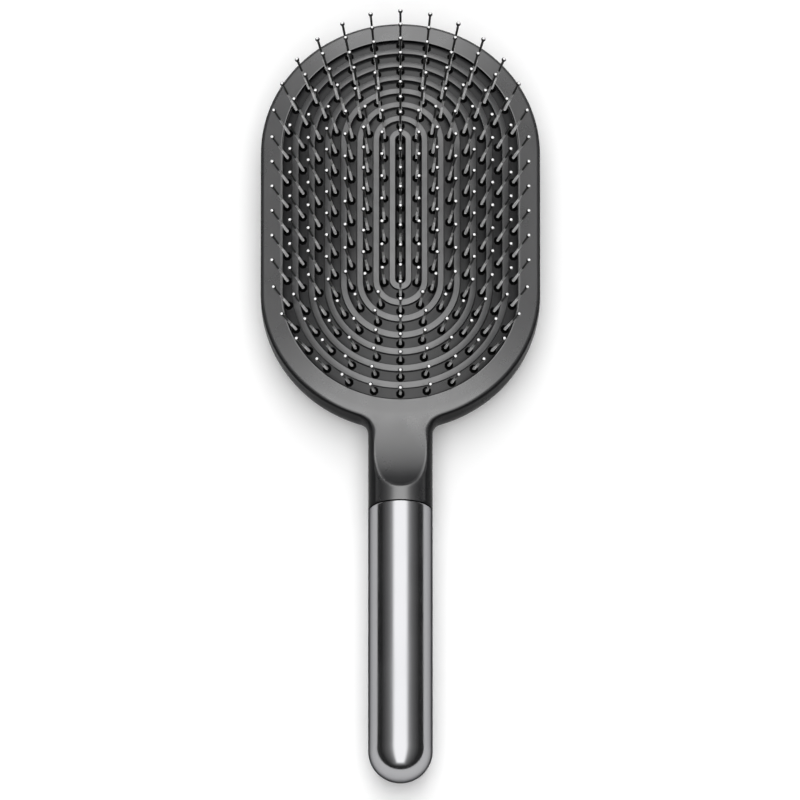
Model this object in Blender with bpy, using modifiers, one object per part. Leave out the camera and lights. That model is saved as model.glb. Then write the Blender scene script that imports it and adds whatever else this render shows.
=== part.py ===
"""Paddle hair brush with a ribbed air-cushion pad, nylon pins and a metal handle sleeve.

The brush lies on its back on the plane Z = 0 with its pins up. Y runs from the handle end to the top
of the head, X across the head. All lengths are metres. The head is a stadium, so most head pieces are
sections carried round one straight core line; the handle pieces are turned round the handle's axis.
"""

import math

import bmesh
import bpy
import numpy as np
from mathutils import Matrix, Vector

# Clearances
CLEARANCE = 0.0003
OVERRUN = 0.002
JOIN_OVERLAP = 0.0004
SURFACE_SINK = 0.00005
BLEND_SINK = 0.00015
WELD_DISTANCE = 0.000005

# Head outline, seen from the front
STRAIGHT_HALF = 0.0232
OPENING_HALF_WIDTH = 0.0367
RIM_WIDTH = 0.0051
EDGE_ROUNDING = 0.0014
HEAD_HALF_WIDTH = OPENING_HALF_WIDTH + RIM_WIDTH + EDGE_ROUNDING
HEAD_END = STRAIGHT_HALF + HEAD_HALF_WIDTH

# Frame heights above the table
RIM_HEIGHT = 0.0172
RIM_DROP = 0.0016
RIM_THICKNESS = 0.0022
BELLY_HEIGHT = 0.0109
FOOT_HEIGHT = 0.0060
BOWL_TUCK = 0.0060
WALL = 0.0020

# Air-cushion pad
PAD_CROWN = 0.0100
PAD_DROP_SHARE = 0.153
PAD_CURVE_POWER = 1.4
PAD_EDGE_GAP = 0.0004
PAD_MARGIN = 0.0017
RIB_WIDTH = 0.0018
CHANNEL_DEPTH = 0.0020
PAD_WEB = 0.0012
PAD_FLANGE_WIDTH = 0.0011
PAD_FLANGE_THICKNESS = 0.0015
PAD_INNER_STEP = 0.0013
LOOP_COUNT = 7

# Pins and the strips that they are moulded on
STRIP_SIDE_GAP = 0.0004
STRIP_THICKNESS = 0.0008
PIN_LENGTH = 0.0184
PIN_FOOT_RADIUS = 0.00102
PIN_FLARE_RADIUS = 0.00062
PIN_FLARE_HEIGHT = 0.0042
PIN_NECK_RADIUS = 0.00038
BALL_RADIUS = 0.00075
PIN_ROOT = 0.0004
PINS_IN_LOOPS = (18, 24, 26, 32, 34, 36, 38)
CENTRE_PINS = 9
LEAN_OF_LOOP = math.radians(2.2)
END_LEAN = math.radians(7)

# Ring that clamps the pad's flange, and its screws
RING_THICKNESS = 0.0020
RING_INNER_STEP = 0.0015
SCREW_RADIUS = 0.0008
SCREW_HEAD_RADIUS = 0.0013
SCREW_HEAD_HEIGHT = 0.0010
SCREW_GRIP = 0.0016
SCREWS_AT_END = 4

# Back cover
COVER_FLOOR = 0.0024
COVER_SKIRT = 0.0014
COVER_FILLET = 0.0024
VENT_RADIUS = 0.00125
VENT_SETBACK = 0.0160

# Neck, tang and handle sleeve
HANDLE_RADIUS = 0.00995
NECK_LENGTH = 0.0277
NECK_NOSE_RADIUS = 0.0038
NECK_NOSE_LENGTH = 0.0036
SHOULDER_ANGLE = math.radians(19)
SHOULDER_RADIUS = 0.0060
NECK_FLAT_HEIGHT = 0.00555
SCOOP_RADIUS = 0.0420
SCOOP_SETBACK = 0.0043
SADDLE_EASE = 0.0040
TANG_RADIUS = 0.0083
TANG_LENGTH = 0.0620
TANG_CHAMFER = 0.0012
SLEEVE_LENGTH = 0.0892
SLEEVE_WALL = 0.0012
SLEEVE_MOUTH_CHAMFER = 0.0003
SLEEVE_RING_SECTION = 0.00085
SLEEVE_RING_LIFT = 0.00015
SLEEVE_RING_SETBACKS = (0.0100, 0.0480)

# Facets
SHARP_ANGLE = math.radians(35)
HEAD_ARC_STEPS = 24
ROUNDING_STEPS = 3
FRAME_BOWL_STEPS = 2
COVER_BOWL_STEPS = 5
NECK_NOSE_STEPS = 5
PAD_ARC_STEPS = 10
PAD_STRAIGHT_STEPS = 3
PAD_WEB_STEPS = 4
SHOULDER_STEPS = 5
SADDLE_EASE_STEPS = 3
SADDLE_SCOOP_STEPS = 8
HANDLE_SIDES = 32
SLEEVE_OUTER_STEPS = 7
SLEEVE_INNER_STEPS = 5
SCREW_SIDES = 10
PIN_SIDES = 4
SLEEVE_RING_SIDES = 20
SLEEVE_RING_SECTION_SIDES = 6

# Places that follow from the sizes above
TOTAL_LENGTH = 2 * HEAD_END + NECK_LENGTH + CLEARANCE + SLEEVE_LENGTH
HEAD_CENTRE = Vector((0, TOTAL_LENGTH / 2 - HEAD_END, 0))
HANDLE_CENTRE = HEAD_CENTRE + Vector((0, 0, HANDLE_RADIUS))
NECK_END = HEAD_END + NECK_LENGTH
RECESS_HALF_WIDTH = HEAD_HALF_WIDTH - WALL
FLANGE_UNDERSIDE = RIM_HEIGHT - RIM_THICKNESS
PAD_FLANGE_TOP = FLANGE_UNDERSIDE - CLEARANCE
PAD_FLANGE_BOTTOM = PAD_FLANGE_TOP - PAD_FLANGE_THICKNESS
PAD_HALF_WIDTH = OPENING_HALF_WIDTH - PAD_EDGE_GAP
LOOP_PITCH = (OPENING_HALF_WIDTH - PAD_MARGIN) / LOOP_COUNT
CHANNEL_WIDTH = LOOP_PITCH - RIB_WIDTH
STRIP_WIDTH = CHANNEL_WIDTH - 2 * STRIP_SIDE_GAP
POCKET_HALF_WIDTH = OPENING_HALF_WIDTH + PAD_FLANGE_WIDTH + CLEARANCE
RING_TOP = PAD_FLANGE_BOTTOM - CLEARANCE
RING_BOTTOM = RING_TOP - RING_THICKNESS
SCREW_LINE = (POCKET_HALF_WIDTH + RECESS_HALF_WIDTH) / 2
FLAT_HALF_WIDTH = HEAD_HALF_WIDTH - BOWL_TUCK
COVER_HALF_WIDTH = RECESS_HALF_WIDTH - CLEARANCE
COVER_LEDGE = FOOT_HEIGHT - CLEARANCE
COVER_SKIRT_TOP = RING_BOTTOM - SCREW_HEAD_HEIGHT - 2 * CLEARANCE
SLEEVE_START = NECK_END + CLEARANCE
SLEEVE_END = SLEEVE_START + SLEEVE_LENGTH


def new_collection(name):
    collection = bpy.data.collections.new(name)
    bpy.context.scene.collection.children.link(collection)
    return collection


def new_material(name, colour, roughness, metallic=0.0):
    material = bpy.data.materials.new(name)
    material.use_nodes = True
    shader = material.node_tree.nodes["Principled BSDF"]
    shader.inputs["Base Color"].default_value = (*colour, 1)
    shader.inputs["Roughness"].default_value = roughness
    shader.inputs["Metallic"].default_value = metallic
    return material


def add_mesh_object(name, mesh, collection, location):
    obj = bpy.data.objects.new(name, mesh)
    collection.objects.link(obj)
    obj.location = location
    return obj


def mesh_from(vertices, faces, name):
    """A mesh whose touching points are welded and whose faces point out."""
    mesh = bpy.data.meshes.new(name)
    mesh.from_pydata([tuple(point) for point in vertices], [], faces)
    maker = bmesh.new()
    maker.from_mesh(mesh)
    bmesh.ops.remove_doubles(maker, verts=maker.verts, dist=WELD_DISTANCE)
    bmesh.ops.recalc_face_normals(maker, faces=maker.faces)
    maker.to_mesh(mesh)
    maker.free()
    return mesh


def finish(obj, material):
    """Applies the object's modifiers, gives it its material and shades it smooth between its creases."""
    mesh = evaluated_mesh(obj)
    mesh.name = obj.name
    obj.modifiers.clear()
    obj.data = mesh
    mesh.materials.clear()
    mesh.materials.append(material)
    mesh.shade_smooth()
    mesh.set_sharp_from_angle(angle=SHARP_ANGLE)


def hide_helper(obj):
    obj.hide_render = True
    obj.display_type = "WIRE"


def evaluated_mesh(obj):
    bpy.context.view_layer.update()
    graph = bpy.context.evaluated_depsgraph_get()
    return bpy.data.meshes.new_from_object(obj.evaluated_get(graph), depsgraph=graph)


def add_boolean(obj, other, operation):
    modifier = obj.modifiers.new(f"{operation.lower()}_{other.name}", "BOOLEAN")
    modifier.operation = operation
    modifier.solver = "EXACT"
    modifier.object = other
    hide_helper(other)


def stadium_stations(arc_steps, straight_steps):
    """Points (core Y, outward direction) once round the stadium, from +X over the top."""
    stations = []
    for end in (1, -1):
        for step in range(arc_steps + 1):
            angle = math.pi * (step / arc_steps + (end < 0))
            stations.append((end * STRAIGHT_HALF, math.cos(angle), math.sin(angle)))
        for step in range(1, straight_steps):
            share = step / straight_steps
            stations.append((end * STRAIGHT_HALF * (1 - 2 * share), -end, 0))
    return stations


def stadium_loft(name, section_at, arc_steps, straight_steps):
    """Carries a section of (offset, height) points round the head's core line.

    A section that starts and ends at offset zero closes on the core line; any other closes on itself.
    """
    stations = stadium_stations(arc_steps, straight_steps)
    vertices = []
    for core_y, across, along in stations:
        for offset, height in section_at(core_y):
            vertices.append((across * offset, core_y + along * offset, height))
    count = len(section_at(0))
    is_ring = section_at(0)[0][0] > 0
    faces = []
    for index in range(len(stations)):
        here = index * count
        following = (index + 1) % len(stations) * count
        for point in range(count if is_ring else count - 1):
            beside = (point + 1) % count
            faces.append((here + point, here + beside, following + beside, following + point))
    return mesh_from(vertices, faces, name)


def turned(name, profile, sides, collection, location, along_handle=True):
    """A profile of (radius, distance) points turned round its axis.

    Along the handle, the distance is measured from the head's centre towards the handle's end.
    """
    vertices = [(radius, 0, distance) for radius, distance in profile]
    edges = [(index, index + 1) for index in range(len(profile) - 1)]
    mesh = bpy.data.meshes.new(name)
    mesh.from_pydata(vertices, edges, [])
    obj = add_mesh_object(name, mesh, collection, location)
    if along_handle:
        obj.rotation_euler = (math.pi / 2, 0, 0)
    screw = obj.modifiers.new("turn", "SCREW")
    screw.axis = "Z"
    screw.steps = sides
    screw.render_steps = sides
    screw.use_merge_vertices = True
    screw.merge_threshold = WELD_DISTANCE
    screw.use_smooth_shade = True
    return obj


def arc_points(radius, start, end, steps):
    return [
        (radius * math.cos(angle), radius * math.sin(angle))
        for angle in np.linspace(start, end, steps + 1)
    ]


def dome_height(offset, core_y):
    """Height of the rib tops over the table, at an offset from the core line."""
    ridge = PAD_CROWN * (1 - PAD_DROP_SHARE * (core_y / STRAIGHT_HALF) ** 2)
    return RIM_HEIGHT + ridge * (1 - (offset / OPENING_HALF_WIDTH) ** PAD_CURVE_POWER)


def channel_offset(index):
    """Middle of a channel; the outermost one is bounded by the pad's edge."""
    if index < LOOP_COUNT:
        return index * LOOP_PITCH
    inner_side = LOOP_COUNT * LOOP_PITCH - CHANNEL_WIDTH / 2
    return (PAD_HALF_WIDTH + inner_side) / 2


def bowl_points(high, low, steps):
    """Points down the head's elliptical underside, from one height to a lower one."""
    angles = np.linspace(math.asin(high / BELLY_HEIGHT - 1), math.asin(low / BELLY_HEIGHT - 1), steps + 1)
    return [
        (FLAT_HALF_WIDTH + BOWL_TUCK * math.cos(angle), BELLY_HEIGHT * (1 + math.sin(angle)))
        for angle in angles
    ]


def frame_outer_profile():
    """Outer side of the frame's wall, from the rim's flat down to its foot."""
    rim_outer = OPENING_HALF_WIDTH + RIM_WIDTH
    rim_low = RIM_HEIGHT - RIM_DROP
    rounding = [
        (rim_outer + across, rim_low - EDGE_ROUNDING + up)
        for across, up in arc_points(EDGE_ROUNDING, math.pi / 2, 0, ROUNDING_STEPS)
    ]
    return rounding + bowl_points(BELLY_HEIGHT, FOOT_HEIGHT, FRAME_BOWL_STEPS)


def frame_section(core_y):
    outer = frame_outer_profile()
    inner = [
        (RECESS_HALF_WIDTH, FOOT_HEIGHT),
        (RECESS_HALF_WIDTH, PAD_FLANGE_BOTTOM),
        (POCKET_HALF_WIDTH, PAD_FLANGE_BOTTOM),
        (POCKET_HALF_WIDTH, FLANGE_UNDERSIDE),
        (OPENING_HALF_WIDTH, FLANGE_UNDERSIDE),
        (OPENING_HALF_WIDTH, RIM_HEIGHT),
    ]
    return outer + inner


def outer_half_width_at(height):
    """Offset of the frame's outer side at a height, read from its profile."""
    profile = sorted(frame_outer_profile(), key=lambda point: point[1])
    heights = [point[1] for point in profile]
    offsets = [point[0] for point in profile]
    return float(np.interp(height, heights, offsets))


def neck_half_width_at(height):
    rise = height - HANDLE_RADIUS
    return math.sqrt(max(HANDLE_RADIUS**2 - rise**2, 0)) - BLEND_SINK


def shoulder_outline(height):
    """Plan of the blend between head and neck at one height, as (across, distance) points.

    A tangent leaves the head's round end at the shoulder angle and an arc turns it along the neck.
    """
    head = outer_half_width_at(height) - SURFACE_SINK
    neck = neck_half_width_at(height)
    start_x = head * math.sin(SHOULDER_ANGLE)
    start_y = STRAIGHT_HALF + head * math.cos(SHOULDER_ANGLE)
    corner_y = start_y + (start_x - neck) * math.tan(SHOULDER_ANGLE)
    turn = math.pi / 2 - SHOULDER_ANGLE
    arc_end_y = corner_y + SHOULDER_RADIUS * math.tan(turn / 2)
    arc = [
        (neck + SHOULDER_RADIUS - across, arc_end_y - along)
        for across, along in arc_points(SHOULDER_RADIUS, turn, 0, SHOULDER_STEPS)
    ]
    right = [(start_x, start_y)] + arc
    left = [(-across, along) for across, along in reversed(right)]
    inner_radius = (head + RECESS_HALF_WIDTH) / 2
    inner = [
        (inner_radius * math.sin(angle), STRAIGHT_HALF + inner_radius * math.cos(angle))
        for angle in np.linspace(-SHOULDER_ANGLE, SHOULDER_ANGLE, SHOULDER_STEPS)
    ]
    return right + left + inner


def shoulder_mesh():
    """Loft of the shoulder outlines, with a layer at each height of the wall's profile."""
    heights = sorted(height for _, height in frame_outer_profile())
    heights.append(RIM_HEIGHT)
    heights.append((BELLY_HEIGHT + RIM_HEIGHT - RIM_DROP - EDGE_ROUNDING) / 2)
    heights.sort()
    outlines = [shoulder_outline(height) for height in heights]
    count = len(outlines[0])
    vertices = [
        (across, -along, height)
        for outline, height in zip(outlines, heights)
        for across, along in outline
    ]
    faces = [tuple(range(count)), tuple(range(len(vertices) - count, len(vertices)))]
    for layer in range(len(heights) - 1):
        for point in range(count):
            here = layer * count + point
            beside = layer * count + (point + 1) % count
            faces.append((here, beside, beside + count, here + count))
    return mesh_from(vertices, faces, "shoulders")


def saddle_profile():
    """What is cut from the neck's front, as (radius, height) points round the head's lower end.

    The rim's slope runs on down to the neck and eases to a level stretch, from which the thumb scoop
    rises until it meets the crown of the round neck.
    """
    low_height = HANDLE_RADIUS + NECK_FLAT_HEIGHT
    slope = RIM_DROP / RIM_WIDTH
    ease_start = OPENING_HALF_WIDTH + (RIM_HEIGHT - low_height) / slope - SADDLE_EASE / 2
    profile = [(OPENING_HALF_WIDTH, RIM_HEIGHT)]
    for share in np.linspace(0, 1, SADDLE_EASE_STEPS + 1):
        height = low_height + slope * SADDLE_EASE / 2 * (1 - share) ** 2
        profile.append((ease_start + share * SADDLE_EASE, height))
    crown_rise = HANDLE_RADIUS - NECK_FLAT_HEIGHT
    scoop_run = math.sqrt(2 * SCOOP_RADIUS * crown_rise - crown_rise**2)
    scoop_end = NECK_END - STRAIGHT_HALF - SCOOP_SETBACK
    scoop_start = max(scoop_end - scoop_run, ease_start + SADDLE_EASE)
    for share in np.linspace(0, 1, SADDLE_SCOOP_STEPS + 1):
        run = share * scoop_run
        rise = SCOOP_RADIUS - math.sqrt(SCOOP_RADIUS**2 - run**2)
        profile.append((scoop_start + run, low_height + rise))
    top = 2 * HANDLE_RADIUS + OVERRUN
    end_slope = scoop_run / (SCOOP_RADIUS - crown_rise)
    profile.append((profile[-1][0] + OVERRUN / end_slope, top))
    profile.append((OPENING_HALF_WIDTH, top))
    profile.append((OPENING_HALF_WIDTH, RIM_HEIGHT))
    return [(radius, height - SURFACE_SINK) for radius, height in reversed(profile)]


def tang_profile():
    """Neck and tang, from the tang's tip to the rounded nose that enters the head's wall."""
    tip = NECK_END + TANG_LENGTH
    groove_floor = TANG_RADIUS - 2 * SLEEVE_RING_SECTION
    profile = [(0, tip), (TANG_RADIUS - TANG_CHAMFER, tip), (TANG_RADIUS, tip - TANG_CHAMFER)]
    for setback in reversed(SLEEVE_RING_SETBACKS):
        middle = NECK_END + setback
        reach = SLEEVE_RING_SECTION + CLEARANCE
        profile += [
            (TANG_RADIUS, middle + reach),
            (groove_floor, middle + reach),
            (groove_floor, middle - reach),
            (TANG_RADIUS, middle - reach),
        ]
    profile += [(TANG_RADIUS, NECK_END), (HANDLE_RADIUS, NECK_END)]
    for angle in np.linspace(math.pi / 2, 0, NECK_NOSE_STEPS + 1):
        radius = NECK_NOSE_RADIUS + (HANDLE_RADIUS - NECK_NOSE_RADIUS) * math.sin(angle)
        profile.append((radius, HEAD_END + NECK_NOSE_LENGTH * (1 - math.cos(angle))))
    neck_start = HEAD_END - WALL + JOIN_OVERLAP
    profile += [(NECK_NOSE_RADIUS, neck_start), (0, neck_start)]
    return profile


def sleeve_profile():
    """Tube with a round closed end, outer side first."""
    ball_centre = SLEEVE_END - HANDLE_RADIUS
    inner_radius = HANDLE_RADIUS - SLEEVE_WALL
    quarter = math.pi / 2
    outer = [
        (radius, ball_centre + along)
        for radius, along in arc_points(HANDLE_RADIUS, quarter, 0, SLEEVE_OUTER_STEPS)
    ]
    inner = [
        (radius, ball_centre + along)
        for radius, along in arc_points(inner_radius, 0, quarter, SLEEVE_INNER_STEPS)
    ]
    outer[0] = (0, SLEEVE_END)
    inner[-1] = (0, SLEEVE_END - SLEEVE_WALL)
    mouth = [
        (HANDLE_RADIUS, SLEEVE_START + SLEEVE_MOUTH_CHAMFER),
        (HANDLE_RADIUS - SLEEVE_MOUTH_CHAMFER, SLEEVE_START),
        (inner_radius, SLEEVE_START),
    ]
    return outer + mouth + inner


def pad_section(core_y):
    """Ribs and channels on the front, a plain web behind them and the clamped flange at the edge."""
    top = [(0, dome_height(0, core_y) - CHANNEL_DEPTH)]
    half_rib = RIB_WIDTH / 2
    for ring in range(1, LOOP_COUNT + 1):
        middle = (ring - 1 / 2) * LOOP_PITCH
        inside = middle - half_rib
        outside = middle + half_rib
        top += [
            (inside, dome_height(inside, core_y) - CHANNEL_DEPTH),
            (inside, dome_height(inside, core_y)),
            (outside, dome_height(outside, core_y)),
            (outside, dome_height(outside, core_y) - CHANNEL_DEPTH),
        ]
    flange_outer = OPENING_HALF_WIDTH + PAD_FLANGE_WIDTH
    flange_inner = OPENING_HALF_WIDTH - RING_INNER_STEP
    edge = [
        (PAD_HALF_WIDTH, dome_height(PAD_HALF_WIDTH, core_y) - CHANNEL_DEPTH),
        (PAD_HALF_WIDTH, PAD_FLANGE_TOP),
        (flange_outer, PAD_FLANGE_TOP),
        (flange_outer, PAD_FLANGE_BOTTOM),
        (flange_inner, PAD_FLANGE_BOTTOM),
    ]
    web_outer = flange_inner - PAD_INNER_STEP
    depth = CHANNEL_DEPTH + PAD_WEB
    behind = [
        (web_outer * share, dome_height(web_outer * share, core_y) - depth)
        for share in np.linspace(1, 0, PAD_WEB_STEPS + 1)
    ]
    return top + edge + behind


def strip_height(offset, core_y):
    """Front face of a pin strip, lying on the floor of its channel."""
    return dome_height(offset, core_y) - CHANNEL_DEPTH + CLEARANCE + STRIP_THICKNESS


def strip_section(index, core_y):
    half = STRIP_WIDTH / 2
    middle = channel_offset(index)
    outside = middle + half
    inside = max(middle - half, 0)
    return [
        (inside, strip_height(inside, core_y) - STRIP_THICKNESS),
        (outside, strip_height(outside, core_y) - STRIP_THICKNESS),
        (outside, strip_height(outside, core_y)),
        (inside, strip_height(inside, core_y)),
    ]


def loop_place(offset, distance):
    """Point and outward direction on a loop, a distance round it from the top of the head."""
    quarter = offset * math.pi / 2
    straight = 2 * STRAIGHT_HALF
    half_loop = 2 * quarter + straight
    side = 1 if distance <= half_loop else -1
    along = distance if side > 0 else 2 * half_loop - distance
    if along < quarter:
        angle = along / offset
        core_y = STRAIGHT_HALF
    elif along <= quarter + straight:
        angle = math.pi / 2
        core_y = STRAIGHT_HALF - (along - quarter)
    else:
        angle = math.pi / 2 + (along - quarter - straight) / offset
        core_y = -STRAIGHT_HALF
    outward = Vector((side * math.sin(angle), math.cos(angle), 0))
    return core_y, outward


def pin_matrix(index, core_y, outward):
    """Stands a pin on its strip, leaning outwards more on the outer loops."""
    offset = channel_offset(index)
    foot = Vector((0, core_y, 0)) + outward * offset
    foot.z = strip_height(offset, core_y)
    lean = math.tan(LEAN_OF_LOOP * index)
    end_lean = math.tan(END_LEAN) * core_y / STRAIGHT_HALF * (1 - index / LOOP_COUNT)
    axis = Vector((0, 0, 1)) + outward * lean + Vector((0, end_lean, 0))
    turn = Vector((0, 0, 1)).rotation_difference(axis).to_matrix().to_4x4()
    return Matrix.Translation(foot) @ turn


def pin_places(index):
    if index == 0:
        sideways = Vector((1, 0, 0))
        core_ys = np.linspace(-STRAIGHT_HALF, STRAIGHT_HALF, CENTRE_PINS)
        return [pin_matrix(0, core_y, sideways) for core_y in core_ys]
    offset = channel_offset(index)
    loop_length = 2 * math.pi * offset + 4 * STRAIGHT_HALF
    count = PINS_IN_LOOPS[index - 1]
    places = [loop_place(offset, loop_length * step / count) for step in range(count)]
    return [pin_matrix(index, core_y, outward) for core_y, outward in places]


def pin_profile():
    """Ball tip, tapering shaft and flared foot, from the tip down."""
    ball_height = PIN_LENGTH - BALL_RADIUS
    return [
        (0, PIN_LENGTH),
        (BALL_RADIUS, ball_height),
        (PIN_NECK_RADIUS, ball_height - BALL_RADIUS),
        (PIN_FLARE_RADIUS, PIN_FLARE_HEIGHT),
        (PIN_FOOT_RADIUS, -PIN_ROOT),
        (0, -PIN_ROOT),
    ]


def joined_copies(name, mesh, matrices, collection, location):
    """Copies of one mesh in a single object, ready to be united with what carries them."""
    maker = bmesh.new()
    for matrix in matrices:
        first = len(maker.verts)
        maker.from_mesh(mesh)
        bmesh.ops.transform(maker, matrix=matrix, verts=list(maker.verts)[first:])
    joined = bpy.data.meshes.new(name)
    maker.to_mesh(joined)
    maker.free()
    return add_mesh_object(name, joined, collection, location)


def screw_places():
    """Screw centres, evenly round each end of the head from one straight side to the other."""
    places = []
    for end in (1, -1):
        for step in range(SCREWS_AT_END):
            angle = math.pi * step / (SCREWS_AT_END - 1)
            across = SCREW_LINE * math.cos(angle)
            along = end * (STRAIGHT_HALF + SCREW_LINE * math.sin(angle))
            places.append(Vector((across, along, 0)))
    return places


def screw_profile():
    """Thread-forming screw standing on its head, from its tip down."""
    head_top = RING_BOTTOM - CLEARANCE
    return [
        (0, PAD_FLANGE_BOTTOM + SCREW_GRIP),
        (SCREW_RADIUS, PAD_FLANGE_BOTTOM + SCREW_GRIP),
        (SCREW_RADIUS, head_top),
        (SCREW_HEAD_RADIUS, head_top),
        (SCREW_HEAD_RADIUS, head_top - SCREW_HEAD_HEIGHT),
        (0, head_top - SCREW_HEAD_HEIGHT),
    ]


def drill(name, radius, low, high, places, collection):
    """One cutter made of upright cylinders."""
    maker = bmesh.new()
    for place in places:
        middle = Matrix.Translation(place + Vector((0, 0, (low + high) / 2)))
        bmesh.ops.create_cone(
            maker,
            cap_ends=True,
            segments=SCREW_SIDES,
            radius1=radius,
            radius2=radius,
            depth=high - low,
            matrix=middle,
        )
    mesh = bpy.data.meshes.new(name)
    maker.to_mesh(mesh)
    maker.free()
    return add_mesh_object(name, mesh, collection, HEAD_CENTRE)


def build_frame(parts, cutters, material):
    """Rim, side wall, shoulders, neck and tang in one moulding."""
    ring = stadium_loft("paddle_frame", frame_section, HEAD_ARC_STEPS, 1)
    frame = add_mesh_object("paddle_frame", ring, parts, HEAD_CENTRE)
    neck = turned("neck_and_tang", tang_profile(), HANDLE_SIDES, cutters, HANDLE_CENTRE)
    shoulders = add_mesh_object("shoulders", shoulder_mesh(), cutters, HEAD_CENTRE)
    lower_end = HEAD_CENTRE - Vector((0, STRAIGHT_HALF, 0))
    saddle_cut = turned(
        "saddle_cut", saddle_profile(), 2 * HEAD_ARC_STEPS, cutters, lower_end, along_handle=False
    )
    add_boolean(shoulders, neck, "UNION")
    add_boolean(shoulders, saddle_cut, "DIFFERENCE")
    add_boolean(frame, shoulders, "UNION")
    pilot_top = PAD_FLANGE_BOTTOM + SCREW_GRIP + CLEARANCE
    pilot_radius = SCREW_RADIUS + CLEARANCE
    pilots = drill("pilot_holes", pilot_radius, RING_TOP, pilot_top, screw_places(), cutters)
    add_boolean(frame, pilots, "DIFFERENCE")
    finish(frame, material)


def cover_section(core_y):
    """Dish that carries the bowl of the frame's wall down to its flat, and a skirt inside the wall."""
    bowl = bowl_points(COVER_LEDGE, 0, COVER_BOWL_STEPS)
    skirt_inner = COVER_HALF_WIDTH - COVER_SKIRT
    fillet = [
        (skirt_inner - COVER_FILLET + across, COVER_FLOOR + COVER_FILLET + down)
        for across, down in arc_points(COVER_FILLET, 0, -math.pi / 2, ROUNDING_STEPS)
    ]
    return [
        (0, 0),
        *reversed(bowl),
        (COVER_HALF_WIDTH, COVER_LEDGE),
        (COVER_HALF_WIDTH, COVER_SKIRT_TOP),
        (skirt_inner, COVER_SKIRT_TOP),
        *fillet,
        (0, COVER_FLOOR),
    ]


def build_cover(parts, cutters, material):
    mesh = stadium_loft("back_cover", cover_section, HEAD_ARC_STEPS, 1)
    cover = add_mesh_object("back_cover", mesh, parts, HEAD_CENTRE)
    place = Vector((0, VENT_SETBACK - STRAIGHT_HALF - COVER_HALF_WIDTH, 0))
    vent = drill("vent", VENT_RADIUS, -OVERRUN, COVER_FLOOR + OVERRUN, [place], cutters)
    add_boolean(cover, vent, "DIFFERENCE")
    finish(cover, material)


def ring_section(core_y):
    inner = OPENING_HALF_WIDTH - RING_INNER_STEP
    outer = RECESS_HALF_WIDTH - CLEARANCE
    return [(inner, RING_BOTTOM), (outer, RING_BOTTOM), (outer, RING_TOP), (inner, RING_TOP)]


def build_ring_and_screws(parts, cutters, plastic, steel):
    mesh = stadium_loft("pad_retaining_ring", ring_section, HEAD_ARC_STEPS, 1)
    ring = add_mesh_object("pad_retaining_ring", mesh, parts, HEAD_CENTRE)
    hole_radius = SCREW_RADIUS + CLEARANCE
    low = RING_BOTTOM - OVERRUN
    high = RING_TOP + OVERRUN
    holes = drill("ring_holes", hole_radius, low, high, screw_places(), cutters)
    add_boolean(ring, holes, "DIFFERENCE")
    finish(ring, plastic)
    for number, place in enumerate(screw_places(), 1):
        location = HEAD_CENTRE + place
        name = f"clamp_screw_{number}"
        screw = turned(name, screw_profile(), SCREW_SIDES, parts, location, along_handle=False)
        finish(screw, steel)


def build_pad(parts, material):
    mesh = stadium_loft("cushion_pad", pad_section, PAD_ARC_STEPS, PAD_STRAIGHT_STEPS)
    pad = add_mesh_object("cushion_pad", mesh, parts, HEAD_CENTRE)
    finish(pad, material)


def build_pins(parts, cutters, material):
    """A strip in each channel with its pins standing on it."""
    pattern = turned("pin_pattern", pin_profile(), PIN_SIDES, cutters, HEAD_CENTRE, along_handle=False)
    hide_helper(pattern)
    pin_mesh = evaluated_mesh(pattern)
    for index in range(LOOP_COUNT + 1):
        name = f"pin_loop_{index}" if index else "pin_row_centre"

        def section(core_y, index=index):
            return strip_section(index, core_y)

        mesh = stadium_loft(name, section, PAD_ARC_STEPS, PAD_STRAIGHT_STEPS)
        strip = add_mesh_object(name, mesh, parts, HEAD_CENTRE)
        pins = joined_copies(f"{name}_pins", pin_mesh, pin_places(index), cutters, HEAD_CENTRE)
        add_boolean(strip, pins, "UNION")
        finish(strip, material)


def build_sleeve(parts, metal, rubber):
    """Metal handle tube over the tang, centred on it by two rubber rings."""
    sleeve = turned("handle_sleeve", sleeve_profile(), HANDLE_SIDES, parts, HANDLE_CENTRE)
    finish(sleeve, metal)
    groove_floor = TANG_RADIUS - 2 * SLEEVE_RING_SECTION
    major_radius = groove_floor + SLEEVE_RING_LIFT + SLEEVE_RING_SECTION
    for name, setback in zip(("sleeve_ring_front", "sleeve_ring_rear"), SLEEVE_RING_SETBACKS):
        bpy.ops.mesh.primitive_torus_add(
            major_radius=major_radius,
            minor_radius=SLEEVE_RING_SECTION,
            major_segments=SLEEVE_RING_SIDES,
            minor_segments=SLEEVE_RING_SECTION_SIDES,
            location=HANDLE_CENTRE - Vector((0, NECK_END + setback, 0)),
            rotation=(math.pi / 2, 0, 0),
        )
        ring = bpy.context.object
        ring.name = name
        ring.data.name = name
        for collection in list(ring.users_collection):
            collection.objects.unlink(ring)
        parts.objects.link(ring)
        finish(ring, rubber)


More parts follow.
